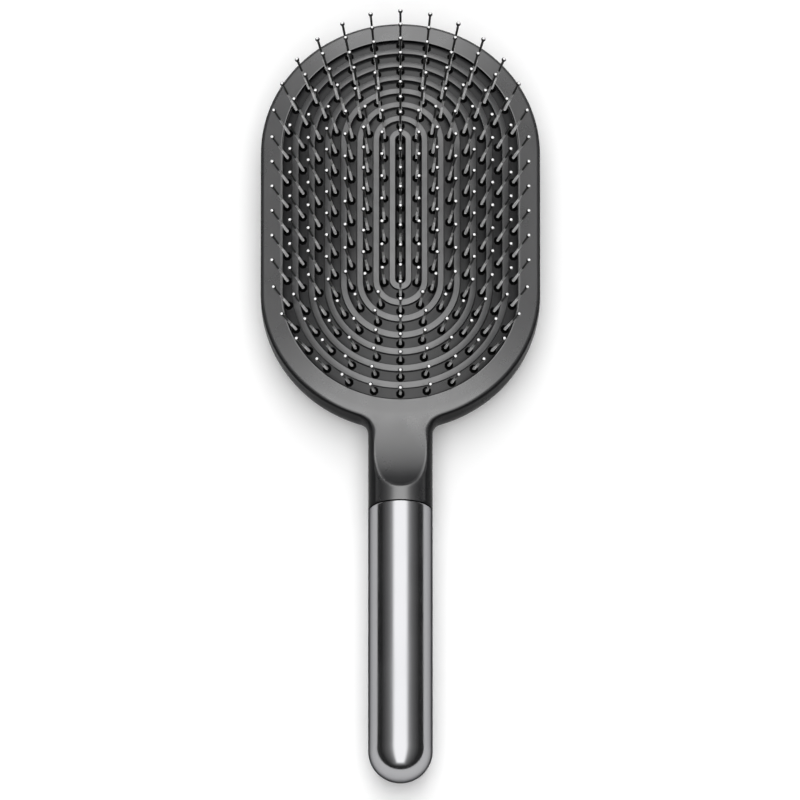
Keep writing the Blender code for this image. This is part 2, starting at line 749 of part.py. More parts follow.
def main():
    for obj in list(bpy.data.objects):
        bpy.data.objects.remove(obj)
    parts = new_collection("hair_brush")
    cutters = new_collection("cutters")
    satin_plastic = new_material("satin grey plastic", (0.06, 0.06, 0.063), 0.38)
    grey_rubber = new_material("grey elastomer", (0.16, 0.16, 0.165), 0.55)
    black_nylon = new_material("black nylon", (0.006, 0.006, 0.006), 0.15)
    dark_metal = new_material("dark polished metal", (0.30, 0.30, 0.31), 0.16, metallic=1.0)
    steel = new_material("zinc-plated steel", (0.55, 0.55, 0.56), 0.30, metallic=1.0)
    black_rubber = new_material("black rubber", (0.012, 0.012, 0.012), 0.65)
    build_frame(parts, cutters, satin_plastic)
    build_cover(parts, cutters, satin_plastic)
    build_ring_and_screws(parts, cutters, satin_plastic, steel)
    build_pad(parts, grey_rubber)
    build_pins(parts, cutters, black_nylon)
    build_sleeve(parts, dark_metal, black_rubber)


main()
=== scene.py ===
"""Paddle hair brush, dressed for its portrait.

The brush lies on its back with its pins up. Y runs from the handle's end to the top of the head, X
across it, Z out of the pin side. Lengths are metres. Most head pieces follow one stadium, two half
circles round centres that stand a straight half apart from the head's centre, so a section is turned
once and its halves are drawn apart.
"""

import logging
import math
from dataclasses import dataclass
from enum import Enum

import bpy
import numpy as np
from mathutils import Matrix, Vector


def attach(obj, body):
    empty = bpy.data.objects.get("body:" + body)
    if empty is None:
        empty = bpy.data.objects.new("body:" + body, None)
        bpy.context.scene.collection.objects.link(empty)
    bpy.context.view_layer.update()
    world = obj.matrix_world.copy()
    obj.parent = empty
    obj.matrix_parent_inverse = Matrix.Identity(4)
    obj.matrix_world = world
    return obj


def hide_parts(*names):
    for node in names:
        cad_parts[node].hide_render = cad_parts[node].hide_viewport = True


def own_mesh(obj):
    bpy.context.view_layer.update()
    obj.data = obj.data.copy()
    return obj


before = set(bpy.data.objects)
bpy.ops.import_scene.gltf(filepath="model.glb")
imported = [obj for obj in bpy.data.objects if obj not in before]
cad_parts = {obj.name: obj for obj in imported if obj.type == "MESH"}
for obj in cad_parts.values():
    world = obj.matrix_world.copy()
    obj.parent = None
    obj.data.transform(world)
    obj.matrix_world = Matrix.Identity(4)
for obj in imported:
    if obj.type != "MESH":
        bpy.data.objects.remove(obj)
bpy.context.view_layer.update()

MM = 0.001
TOLERANCE = 0.001 * MM
CORNER_ANGLE = math.radians(50)
LOG = logging.getLogger("hair_brush")


class Slot(Enum):
    """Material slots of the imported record."""

    SATIN_PLASTIC = "satin_plastic"
    GREY_ELASTOMER = "grey_elastomer"
    BLACK_NYLON = "black_nylon"
    DARK_METAL = "dark_metal"


class Body(Enum):
    """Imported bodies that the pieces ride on."""

    BRUSH = "brush_body"
    CENTRE_PINS = "centre_pins"


def linear_colour(hex_code: str) -> tuple[float, float, float, float]:
    """Turns an sRGB hex code to linear light.

    Args:
        hex_code: six digits, such as "3c3c3d".

    Returns:
        Red, green, blue and an alpha of one.
    """
    channels = []
    for start in (0, 2, 4):
        value = int(hex_code[start : start + 2], 16) / 255
        if value <= 0.04045:
            channels.append(value / 12.92)
        else:
            channels.append(((value + 0.055) / 1.055) ** 2.4)
    return (channels[0], channels[1], channels[2], 1.0)


def add_node(
    tree: bpy.types.NodeTree,
    kind: str,
    settings: dict[str, object] | None = None,
    values: dict[str | int, object] | None = None,
    links: dict[str | int, bpy.types.NodeSocket] | None = None,
) -> bpy.types.Node:
    """Adds a node with its settings, socket values and incoming links.

    Args:
        tree: tree that gets the node.
        kind: type name of the node.
        settings: attributes of the node itself.
        values: constants by input socket.
        links: output sockets by the input socket that they feed.

    Returns:
        The new node.
    """
    node = tree.nodes.new(kind)
    for name, setting in (settings or {}).items():
        setattr(node, name, setting)
    for socket, value in (values or {}).items():
        node.inputs[socket].default_value = value
    for socket, source in (links or {}).items():
        tree.links.new(source, node.inputs[socket])
    return node


def grains_per_metre(size_mm: float) -> float:
    """Texture scale at which one feature of a noise is size_mm wide."""
    return 1 / (size_mm * MM)


@dataclass(frozen=True)
class Finish:
    """A surface finish: what it is, its colour and how it takes the light."""

    name: str
    hex_code: str
    roughness: float
    reflectance: float = 0.5
    ior: float = 1.5
    metallic: float = 0.0
    grain_mm: float = 0.4
    grain_height_mm: float = 0.006
    grain_detail: float = 2.0
    patch_mm: float = 9.0
    patch_roughness: float = 0.04
    patch_detail: float = 4.0
    patch_spread: tuple[float, float] = (0.3, 0.7)
    edge_tint: float = 1.0

    def material(self) -> bpy.types.Material:
        """Makes the finish once and hands out the same material afterwards.

        Returns:
            The node material.
        """
        known = bpy.data.materials.get(self.name)
        if known:
            return known
        made = bpy.data.materials.new(self.name)
        made.use_nodes = True
        tree = made.node_tree
        shader = tree.nodes["Principled BSDF"]
        shader.inputs["Base Color"].default_value = linear_colour(self.hex_code)
        shader.inputs["Roughness"].default_value = self.roughness
        shader.inputs["Metallic"].default_value = self.metallic
        if self.metallic:
            # An edge tint below one darkens the grazing reflection at a metal's sides: painted shade.
            tint = self.edge_tint
            shader.inputs["Specular Tint"].default_value = (tint, tint, tint, 1)
        else:
            shader.inputs["Specular IOR Level"].default_value = self.reflectance
            shader.inputs["IOR"].default_value = self.ior
        self.dress(tree, shader)
        return made

    def dress(self, tree: bpy.types.NodeTree, shader: bpy.types.Node) -> None:
        """Adds the moulded grain and the faint patches of wear that most finishes here share.

        Args:
            tree: the material's node tree.
            shader: its principled shader.
        """
        place = add_node(tree, "ShaderNodeTexCoord")
        patches = add_node(
            tree,
            "ShaderNodeTexNoise",
            values={"Scale": grains_per_metre(self.patch_mm), "Detail": self.patch_detail},
            links={"Vector": place.outputs["Object"]},
        )
        spread = add_node(
            tree,
            "ShaderNodeMapRange",
            values={
                "From Min": self.patch_spread[0],
                "From Max": self.patch_spread[1],
                "To Min": self.roughness - self.patch_roughness,
                "To Max": self.roughness + self.patch_roughness,
            },
            links={"Value": patches.outputs["Fac"]},
        )
        tree.links.new(spread.outputs["Result"], shader.inputs["Roughness"])
        grain = add_node(
            tree,
            "ShaderNodeTexNoise",
            values={"Scale": grains_per_metre(self.grain_mm), "Detail": self.grain_detail},
            links={"Vector": place.outputs["Object"]},
        )
        bump = add_node(
            tree,
            "ShaderNodeBump",
            values={"Strength": 1.0, "Distance": self.grain_height_mm * MM},
            links={"Height": grain.outputs["Fac"]},
        )
        tree.links.new(bump.outputs["Normal"], shader.inputs["Normal"])


@dataclass(frozen=True)
class PaintedShadeFinish(Finish):
    """Finish of a moulding with painted shade: darker, duller walls and a duller thumb scoop."""

    # Painted shade: the walls' darker colour and weaker reflection, the facing over which it fades, the
    # scoop's span and reflection share, and the neck's round that keeps its reflection.
    wall_shade_hex: str = "19191a"
    wall_shade_reflectance: float = 0.01
    shade_facing: tuple[float, float] = (0.62, 0.98)
    scoop_shade_mm: tuple[float, float] = (-25.5, -8.0)
    scoop_shade_share: float = 0.15
    round_mm: float = 9.95
    unshaded_round_mm: tuple[float, float] = (8.9, 9.8)

    def dress(self, tree: bpy.types.NodeTree, shader: bpy.types.Node) -> None:
        """Adds grain and wear, then paints shade: a darker colour and a weaker reflection on faces that
        don't face up, and a weaker reflection in the thumb scoop.

        Args:
            tree: the material's node tree.
            shader: its principled shader.
        """
        super().dress(tree, shader)
        # Painted shade from here on: colour and reflection drop on faces that don't face up and in the
        # thumb scoop, but not on the neck's round.
        place = add_node(tree, "ShaderNodeTexCoord")
        facing = add_node(tree, "ShaderNodeSeparateXYZ", links={0: place.outputs["Normal"]})
        low, high = self.shade_facing
        upward = add_node(
            tree,
            "ShaderNodeMapRange",
            values={"From Min": low, "From Max": high},
            links={"Value": facing.outputs["Z"]},
        )
        along = add_node(tree, "ShaderNodeSeparateXYZ", links={0: place.outputs["Object"]})
        deepest, start = self.scoop_shade_mm
        painted_scoop_shade = add_node(
            tree,
            "ShaderNodeMapRange",
            values={"From Min": deepest * MM, "From Max": start * MM, "To Min": self.scoop_shade_share},
            links={"Value": along.outputs["Y"]},
        )
        from_axis = add_node(
            tree,
            "ShaderNodeVectorMath",
            {"operation": "MULTIPLY_ADD"},
            {1: (1, 0, 1), 2: (0, 0, -self.round_mm * MM)},
            {0: place.outputs["Object"]},
        )
        distance = add_node(
            tree, "ShaderNodeVectorMath", {"operation": "LENGTH"}, links={0: from_axis.outputs["Vector"]}
        )
        inner, outer = self.unshaded_round_mm
        neck_round_unshaded = add_node(
            tree,
            "ShaderNodeMapRange",
            values={"From Min": inner * MM, "From Max": outer * MM},
            links={"Value": distance.outputs["Value"]},
        )
        # Where the reflection stays full: outside the scoop's painted shade, or on the neck's round.
        smooth = add_node(
            tree,
            "ShaderNodeMath",
            {"operation": "MAXIMUM"},
            links={0: painted_scoop_shade.outputs["Result"], 1: neck_round_unshaded.outputs["Result"]},
        )
        share = add_node(
            tree,
            "ShaderNodeMath",
            {"operation": "MULTIPLY"},
            links={0: upward.outputs["Result"], 1: smooth.outputs["Value"]},
        )
        # Painted shade in the reflection: walls and scoop reflect less than the top.
        shine = add_node(
            tree,
            "ShaderNodeMapRange",
            values={"To Min": self.wall_shade_reflectance, "To Max": self.reflectance},
            links={"Value": share.outputs["Value"]},
        )
        tree.links.new(shine.outputs["Result"], shader.inputs["Specular IOR Level"])
        # Painted shade in the colour: faces that don't face up turn to the darker wall colour.
        colour = add_node(
            tree,
            "ShaderNodeMix",
            {"data_type": "RGBA"},
            {"A": linear_colour(self.wall_shade_hex), "B": linear_colour(self.hex_code)},
            {"Factor": upward.outputs["Result"]},
        )
        tree.links.new(colour.outputs["Result"], shader.inputs["Base Color"])


# A steel tool with a light spark-eroded texture moulds the frame: the texture spreads a reflection into
# a soft sheen, and the eye sees satin grey where the lamp is reflected and near black elsewhere.
# Its walls and thumb scoop carry painted shade: a darker colour and a weaker reflection than its top.
SATIN_ABS = PaintedShadeFinish(
    "satin moulded ABS with painted wall shade",
    "343435",
    0.29,
    reflectance=0.96,
    ior=1.7,
    grain_mm=0.3,
    grain_height_mm=0.002,
)
# The same ABS from a coarser part of the tool, on the back that lies on the table, so its grain is coarser;
# its darker colour and weak reflection are painted shade that matches the frame's walls.
BACK_ABS_PAINTED_DARK = Finish(
    "textured ABS painted dark", "1f1f20", 0.45, reflectance=0.15, grain_mm=0.7, grain_height_mm=0.02
)
# Soft thermoplastic rubber: a dull, slightly cloudy skin that still shines where it faces the lamp.
CUSHION_RUBBER = Finish(
    "moulded elastomer",
    "303031",
    0.33,
    reflectance=1.0,
    ior=1.7,
    grain_mm=0.35,
    grain_height_mm=0.002,
    patch_mm=5.0,
)
# Pressed-in strips of nylon, darker than the rubber and a little oily from the mould.
STRIP_NYLON = Finish("moulded nylon strip", "1c1c1d", 0.30, grain_mm=0.5, grain_height_mm=0.003)
# Pins come smooth from the tool, so their grain is faint.
PIN_SKIN = {"grain_mm": 1.0, "grain_height_mm": 0.0005, "patch_roughness": 0.02}
# Thin upper part of a pin and the underside of its ball: glossy black nylon.
PIN_NYLON = Finish("glossy nylon pin", "121212", 0.3, reflectance=0.6, **PIN_SKIN)
# Middle of a pin, where the black nylon turns to the pale painted highlight of the foot: a half painted
# highlight.
PIN_WAIST_HALF_HIGHLIGHT = Finish("pin waist with half painted highlight", "a4a4a4", 0.28, reflectance=0.8, **PIN_SKIN)
# Thick lower part of a pin, painted near white: a painted highlight that stands for the lamp's pale streak
# along the shaft.
PIN_FOOT_HIGHLIGHT = Finish("pin foot with painted highlight", "f4f4f4", 0.25, reflectance=1.0, **PIN_SKIN)
# Ball tips carry a pale painted cap, a painted highlight, so each one shows as a white dot with a dark
# edge.
BALL_HIGHLIGHT = Finish(
    "ball tip with painted highlight", "f6f6f6", 0.2, grain_mm=1.0, grain_height_mm=0.0, patch_roughness=0.02
)
# Near-black disc round the foot of a pin that sends hardly any light back: painted shade for the dark
# shadow round each foot.
SOCKET_SHADE = Finish(
    "pin foot disc with painted shade", "060606", 0.8, reflectance=0.05, grain_mm=0.3, grain_height_mm=0.01
)
# Drawn steel tube under a dark polished plating: mirror-like and faintly cloudy. Its low edge tint darkens
# the reflection towards the tube's sides: painted shade.
DARK_PLATING = Finish(
    "dark polished plating",
    "a6a6a8",
    0.16,
    metallic=1.0,
    grain_height_mm=0.0004,
    patch_mm=14.0,
    edge_tint=0.05,
)
# Zinc-plated screw steel, bright and faintly cloudy.
ZINC_STEEL = Finish(
    "zinc-plated steel", "bcbcbd", 0.34, metallic=1.0, patch_mm=0.6, patch_roughness=0.08
)
# Matt black rubber rings.
RING_RUBBER = Finish("moulded black rubber", "1b1b1b", 0.62, grain_mm=0.25, grain_height_mm=0.01)


def select_only(piece: bpy.types.Object | None) -> None:
    """Leaves one object selected and active, or none."""
    bpy.ops.object.select_all(action="DESELECT")
    if piece:
        piece.select_set(True)
        bpy.context.view_layer.objects.active = piece


def edit(piece: bpy.types.Object) -> None:
    """Opens a piece in edit mode with nothing of it selected."""
    select_only(piece)
    bpy.ops.object.mode_set(mode="EDIT")
    bpy.ops.mesh.select_all(action="DESELECT")


def leave_edit() -> None:
    """Goes back to object mode."""
    bpy.ops.object.mode_set(mode="OBJECT")


def coordinates(piece: bpy.types.Object) -> np.ndarray:
    """Reads a piece's points as rows of x, y and z."""
    flat = np.empty(len(piece.data.vertices) * 3)
    piece.data.vertices.foreach_get("co", flat)
    return flat.reshape(-1, 3)


def set_coordinates(piece: bpy.types.Object, points: np.ndarray) -> None:
    """Writes a piece's points back."""
    piece.data.vertices.foreach_set("co", points.ravel())
    piece.data.update()


def select_points(piece: bpy.types.Object, chosen: np.ndarray) -> None:
    """Selects the chosen points of a piece, then opens it in edit mode.

    Args:
        piece: the piece.
        chosen: one truth value a point.
    """
    edit(piece)
    bpy.ops.mesh.select_mode(type="VERT")
    leave_edit()
    piece.data.vertices.foreach_set("select", chosen)
    bpy.ops.object.mode_set(mode="EDIT")


def draw_rings(ring: tuple[float, float], rings: list[tuple[float, float]]) -> None:
    """Extrudes the selected ring to each of the rings that follow, and closes one of no radius to a pole.

    Args:
        ring: (radius, height) of the selected ring.
        rings: (radius, height) of those that follow.
    """
    radius, height = ring
    for next_radius, next_height in rings:
        bpy.ops.mesh.extrude_region_move(TRANSFORM_OT_translate={"value": (0, 0, next_height - height)})
        if next_radius == 0:
            bpy.ops.mesh.merge(type="CENTER")
            break
        share = next_radius / radius
        bpy.ops.transform.resize(value=(share, share, 1))
        radius = next_radius
        height = next_height


def lathe(
    name: str, profile: list[tuple[float, float]], sides: int, closed: bool = False
) -> bpy.types.Object:
    """Turns a section about Z: a ring is added and extruded from point to point.

    Args:
        name: name of the piece.
        profile: (radius, height) points of the section.
        sides: points in each ring.
        closed: whether the section comes back to its first point.

    Returns:
        The turned piece, with ends of no radius closed to a pole and other ends filled.
    """
    select_only(None)
    radius, height = profile[0]
    pole_first = radius == 0
    if pole_first:
        radius = profile[1][0]
    bpy.ops.mesh.primitive_circle_add(
        vertices=sides, radius=radius, location=(0, 0, height), rotation=(0, 0, math.pi / sides)
    )
    piece = bpy.context.active_object
    piece.name = name
    bpy.ops.object.transform_apply(location=True, rotation=True, scale=True)
    bpy.ops.object.mode_set(mode="EDIT")
    bpy.ops.mesh.select_all(action="SELECT")
    draw_rings((radius, height), profile[1:])
    leave_edit()
    if pole_first:
        select_points(piece, np.isclose(coordinates(piece)[:, 2], height, atol=TOLERANCE))
        bpy.ops.mesh.merge(type="CENTER")
        leave_edit()
    select_points(piece, np.ones(len(piece.data.vertices), bool))
    if closed:
        bpy.ops.mesh.select_all(action="DESELECT")
        bpy.ops.mesh.select_mode(type="EDGE")
        bpy.ops.mesh.select_non_manifold()
        bpy.ops.mesh.bridge_edge_loops()
    else:
        bpy.ops.mesh.fill_holes(sides=0)
    bpy.ops.mesh.select_all(action="SELECT")
    bpy.ops.mesh.normals_make_consistent(inside=False)
    leave_edit()
    return piece


def tie_piece(piece: bpy.types.Object, body: str, nodes: list[str]) -> None:
    """Ties a piece to its body and the nodes that it stands for.

    Args:
        piece: the finished piece.
        body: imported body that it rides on.
        nodes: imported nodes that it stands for.
    """
    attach(piece, body)
    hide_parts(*nodes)
    LOG.info("%s: %d points", piece.name, len(piece.data.vertices))


def finish_piece(
    piece: bpy.types.Object,
    finish: Finish,
    body: str,
    nodes: list[str],
    smooth_angle: float = math.radians(32),
) -> bpy.types.Object:
    """Smooths a piece, gives it its finish and ties it to its body.

    Args:
        piece: the finished mesh.
        finish: its finish.
        body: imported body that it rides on.
        nodes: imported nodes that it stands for.
        smooth_angle: edges sharper than this stay crisp.

    Returns:
        The same piece.
    """
    select_only(piece)
    bpy.ops.object.shade_smooth_by_angle(angle=smooth_angle)
    piece.data.materials.append(finish.material())
    tie_piece(piece, body, nodes)
    return piece


def smooth_step(value: np.ndarray) -> np.ndarray:
    """Goes from 0 to 1 with level ends."""
    share = np.clip(value, 0, 1)
    return share * share * (3 - 2 * share)


def smooth_min(first: np.ndarray, second: np.ndarray, reach: np.ndarray | float) -> np.ndarray:
    """Lower of two values, filleted where they are within reach of each other."""
    reach = np.maximum(reach, TOLERANCE)
    share = np.clip(0.5 + 0.5 * (second - first) / reach, 0, 1)
    return second + (first - second) * share - reach * share * (1 - share)


def smooth_max(first: np.ndarray, second: np.ndarray, reach: np.ndarray | float) -> np.ndarray:
    """Higher of two values, rounded where they are within reach of each other."""
    return -smooth_min(-first, -second, reach)


def pair(offsets: np.ndarray | float, heights: np.ndarray | float) -> np.ndarray:
    """Joins offsets and heights to (offset, height) points."""
    return np.stack(np.broadcast_arrays(offsets, heights), axis=-1)


@dataclass
class Head:
    """Sizes that the head's pieces share, and the moves that make a turned piece a stadium."""

    straight_half: float = 23.2 * MM
    centre_y: float = 58.6 * MM
    opening: float = 36.7 * MM
    rim_height: float = 17.2 * MM
    half_width: float = 43.2 * MM
    belly: float = 10.9 * MM
    bowl_tuck: float = 6.0 * MM
    crown: float = 10.0 * MM
    drop_share: float = 0.153
    curve_power: float = 1.4
    cross_cuts: int = 9

    def side_at(self, height: np.ndarray) -> np.ndarray:
        """Offset of the head's outer side, which tucks in below the belly like a bowl."""
        drop = np.clip((self.belly - height) / self.belly, 0, 1)
        return self.half_width - self.bowl_tuck * (1 - np.sqrt(1 - drop**2))

    def dome(self, offset: np.ndarray | float, core_y: np.ndarray | float) -> np.ndarray | float:
        """Height of the rib tops over the table.

        Args:
            offset: distance from the core line.
            core_y: place along the core line, from the head's centre.

        Returns:
            The height.
        """
        ridge = self.crown * (1 - self.drop_share * (core_y / self.straight_half) ** 2)
        return self.rim_height + ridge * (1 - (offset / self.opening) ** self.curve_power)

    def stretch(self, piece: bpy.types.Object) -> None:
        """Draws the two halves of a turned piece apart and cuts the straight sides across.

        Args:
            piece: a piece turned about Z at the origin, with no point on the X axis.
        """
        for side in (1, -1):
            select_points(piece, coordinates(piece)[:, 1] * side > 0)
            bpy.ops.transform.translate(value=(0, side * self.straight_half, 0))
            leave_edit()
        edit(piece)
        for cut in np.linspace(-self.straight_half, self.straight_half, self.cross_cuts):
            bpy.ops.mesh.select_all(action="SELECT")
            bpy.ops.mesh.bisect(plane_co=(0, float(cut), 0), plane_no=(0, 1, 0))
        leave_edit()

    def lift(self, piece: bpy.types.Object) -> None:
        """Raises the middle of a piece that was turned to the section at the end of the core line.

        Args:
            piece: a stretched piece round the origin.
        """
        points = coordinates(piece)
        core = np.clip(points[:, 1], -self.straight_half, self.straight_half)
        offset = np.hypot(points[:, 0], points[:, 1] - core)
        rise = self.crown * self.drop_share * (1 - (core / self.straight_half) ** 2)
        inside = np.clip(1 - (offset / self.opening) ** self.curve_power, 0, 1)
        points[:, 2] += rise * inside
        set_coordinates(piece, points)

    def place(self, piece: bpy.types.Object) -> None:
        """Moves a piece from the origin to the head's centre, in its mesh."""
        points = coordinates(piece)
        points[:, 1] += self.centre_y
        set_coordinates(piece, points)


def bevel_edges(piece: bpy.types.Object, width: float, segments: int = 2) -> None:
    """Rounds the edges of a piece that are sharper than the corner angle.

    Args:
        piece: the piece.
        width: width of the rounding.
        segments: facets in it.
    """
    select_only(piece)
    rounding = piece.modifiers.new("rounding", "BEVEL")
    rounding.width = width
    rounding.segments = segments
    rounding.limit_method = "ANGLE"
    rounding.angle_limit = CORNER_ANGLE
    rounding.use_clamp_overlap = True
    bpy.ops.object.modifier_apply(modifier=rounding.name)


@dataclass
class FrameMoulding:
    """Rim, wall, shoulders, neck and tang: one moulding, drawn over the outline of the brush."""

    head: Head
    rim_drop: float = 1.6 * MM
    rim_width: float = 5.1 * MM
    inner_edge: float = 0.22 * MM
    flange_underside: float = 15.0 * MM
    pocket_half_width: float = 38.1 * MM
    pocket_floor: float = 13.2 * MM
    wall: float = 2.0 * MM
    foot: float = 6.0 * MM
    handle_radius: float = 9.95 * MM
    neck_end: float = 94.1 * MM
    nose_start: float = 66.4 * MM
    nose_length: float = 3.6 * MM
    nose_radius: float = 3.8 * MM
    shoulder_angle: float = math.radians(19)
    fillet: float = 3.7 * MM
    fillet_growth: float = 0.22
    edge_reach: float = 1.1 * MM
    neck_edge_reach: float = 0.35 * MM
    edge_blend: tuple[float, float] = (45.0 * MM, 7.0 * MM)
    low_height: float = 15.5 * MM
    saddle_ease: float = 4.0 * MM
    saddle_turn: float = math.radians(20)
    saddle_fade: float = math.radians(25)
    scoop_radius: float = 21.0 * MM
    scoop_setback: float = 4.3 * MM
    outer_step: float = 1.0 * MM
    arc_step: float = math.radians(2)
    outline_step: float = 0.9 * MM
    outline_samples: int = 3000
    halvings: int = 36
    end_steps: int = 22
    straight_steps: int = 8
    top_steps: int = 64
    side_steps: int = 20
    bottom_steps: int = 24
    tang_radius: float = 8.3 * MM
    tang_length: float = 62.0 * MM
    tang_chamfer: float = 1.2 * MM
    groove_depth: float = 1.7 * MM
    groove_half: float = 1.15 * MM
    groove_setbacks: tuple[float, ...] = (10.0 * MM, 48.0 * MM)
    tang_sides: int = 48

    def top_height(self, offset: np.ndarray, turn: np.ndarray) -> np.ndarray:
        """Height that the front is cut to: the rim's slope, the saddle and the thumb scoop.

        Args:
            offset: distance from the core line.
            turn: angle from the neck's line, round the head's lower end.

        Returns:
            The height over the table.
        """
        slope = self.rim_drop / self.rim_width
        line = self.head.rim_height - slope * (offset - self.head.opening)
        fall = (self.head.rim_height - self.low_height) / slope
        ease_start = self.head.opening + fall - self.saddle_ease / 2
        share = np.clip((offset - ease_start) / self.saddle_ease, 0, 1)
        eased = self.low_height + slope * self.saddle_ease / 2 * (1 - share) ** 2
        crown_rise = 2 * self.handle_radius - self.low_height
        run = math.sqrt(2 * self.scoop_radius * crown_rise - crown_rise**2)
        scoop_start = self.neck_end - self.head.straight_half - self.scoop_setback - run
        along = np.clip(offset - scoop_start, 0, run)
        scoop = self.scoop_radius - np.sqrt(self.scoop_radius**2 - along**2)
        beyond = np.maximum(offset - scoop_start - run, 0) * run / (self.scoop_radius - crown_rise)
        saddle = np.where(offset < ease_start, line, eased) + scoop + beyond
        away = smooth_step((turn - self.saddle_turn) / self.saddle_fade)
        return saddle + (np.minimum(line, saddle) - saddle) * away

    def depth(self, x: np.ndarray, y: np.ndarray, z: np.ndarray) -> np.ndarray:
        """How far a point is outside the moulding's outer skin, negative inside.

        Args:
            x: across the head.
            y: along it, from the head's centre.
            z: over the table.

        Returns:
            The distance, near the skin.
        """
        half = self.head.straight_half
        core = np.clip(y, -half, half)
        offset = np.hypot(x, y - core)
        turn = np.where(y < -half, np.arctan2(np.abs(x), -(y + half)), math.pi / 2)
        axle = np.hypot(x, z - self.handle_radius)
        neck = np.where(y < -half, axle - self.handle_radius, self.neck_end)
        reach = self.fillet + self.fillet_growth * np.clip(z - self.handle_radius, 0, None)
        upper = np.maximum(smooth_min(offset - self.head.side_at(z), neck, reach), self.foot - z)
        run = np.clip(-(y + self.nose_start) / self.nose_length, 0, 1)
        growth = self.handle_radius - self.nose_radius
        nose = axle - self.nose_radius - growth * np.sqrt(1 - (1 - run) ** 2)
        body = np.minimum(upper, np.where(y < -self.nose_start, nose, self.neck_end))
        start, length = self.edge_blend
        blend = smooth_step((offset - start) / length)
        edge = self.edge_reach + (self.neck_edge_reach - self.edge_reach) * blend
        cut = smooth_max(body, z - self.top_height(offset, turn), edge)
        cut = np.maximum(cut, -z)
        return np.maximum(cut, -(y + self.neck_end))

    def solve(
        self, cores: np.ndarray, ways: np.ndarray, inside: np.ndarray, outside: np.ndarray
    ) -> np.ndarray:
        """Finds where lines in the section planes leave the moulding.

        Args:
            cores: place of each section on the core line.
            ways: unit direction of each section, seen from above.
            inside: (offset, height) of the start of each line, inside the moulding.
            outside: (offset, height) of its far end, outside.

        Returns:
            (offset, height) of each crossing.
        """
        low = np.zeros(inside.shape[:-1])
        high = np.ones(inside.shape[:-1])
        for _ in range(self.halvings):
            middle = (low + high) / 2
            point = inside + (outside - inside) * middle[..., None]
            x = ways[:, 0, None] * point[..., 0]
            y = cores[:, None] + ways[:, 1, None] * point[..., 0]
            is_out = self.depth(x, y, point[..., 1]) > 0
            high = np.where(is_out, middle, high)
            low = np.where(is_out, low, middle)
        return inside + (outside - inside) * ((low + high) / 2)[..., None]

    def far_offsets(self, cores: np.ndarray, ways: np.ndarray) -> np.ndarray:
        """Greatest offset of each section, at the height of the handle's axis."""
        level = np.full((len(cores), 1), self.handle_radius)
        inside = pair(self.head.opening, level)
        outside = pair(self.neck_end, level)
        return self.solve(cores, ways, inside, outside)[:, 0, 0]

    def sections(self) -> tuple[np.ndarray, np.ndarray]:
        """Section planes round the whole head, evenly spaced along the outline.

        Returns:
            Their places on the core line and their directions.
        """
        half = self.head.straight_half
        corner = math.atan(self.handle_radius / (self.neck_end - half))
        end = np.arctan(np.linspace(0, math.tan(corner), self.end_steps + 1))
        fine = np.linspace(corner, self.shoulder_angle + self.arc_step, self.outline_samples)
        ways = np.stack([np.sin(fine), -np.cos(fine)], axis=1)
        offsets = self.far_offsets(np.full(len(fine), -half), ways)
        outline = ways * offsets[:, None]
        run = np.concatenate([[0], np.cumsum(np.linalg.norm(np.diff(outline, axis=0), axis=1))])
        count = math.ceil(run[-1] / self.outline_step)
        shoulder = np.interp(np.linspace(0, run[-1], count + 1), run, fine)
        arcs = math.ceil((math.pi / 2 - fine[-1]) / self.arc_step)
        rest = np.linspace(fine[-1], math.pi / 2, arcs + 1)
        lower = np.concatenate([end[:-1], shoulder[:-1], rest[:-1]])
        straight = np.linspace(-half, half, self.straight_steps + 1)
        upper = np.linspace(math.pi / 2, math.pi, round(math.pi / 2 / self.arc_step) + 1)[1:]
        cores = np.concatenate([np.full(len(lower), -half), straight, np.full(len(upper), half)])
        turns = np.concatenate([lower, np.full(len(straight), math.pi / 2), upper])
        turns = np.concatenate([turns, -turns[-2:0:-1]])
        cores = np.concatenate([cores, cores[-2:0:-1]])
        return cores, np.stack([np.sin(turns), -np.cos(turns)], axis=1)

    def skin(self) -> np.ndarray:
        """Points of the closed section at every plane.

        Returns:
            An array of section points by section, each x, y and z from the head's centre.
        """
        cores, ways = self.sections()
        count = len(cores)
        far = self.far_offsets(cores, ways)
        edge = far - self.outer_step
        opening = self.head.opening
        start = opening + self.inner_edge

        share = np.linspace(0, 1, self.top_steps)[None, :]
        reach = ((edge - start) / (self.top_steps * self.outer_step))[:, None]
        share = share + (np.sin(share * math.pi / 2) - share) * np.clip(1 - reach, 0, 1)
        offsets = start + (edge[:, None] - start) * share
        inside = pair(offsets, self.handle_radius)
        outside = pair(offsets, 3 * self.handle_radius)
        top = self.solve(cores, ways, inside, outside)

        run = np.linspace(1, 0, self.bottom_steps)[None, :] ** 2
        recess = self.head.half_width - self.wall
        offsets = recess + (edge[:, None] - recess) * run
        inside = pair(offsets, self.handle_radius)
        outside = pair(offsets, -self.wall)
        bottom = self.solve(cores, ways, inside, outside)

        turn = (1 - np.cos(np.linspace(0, math.pi, self.side_steps + 2)[1:-1])) / 2
        heights = top[:, -1:, 1] + (bottom[:, :1, 1] - top[:, -1:, 1]) * turn[None, :]
        inside = pair(edge[:, None] - self.outer_step, heights)
        outside = pair(far[:, None] + self.outer_step, heights)
        side = self.solve(cores, ways, inside, outside)

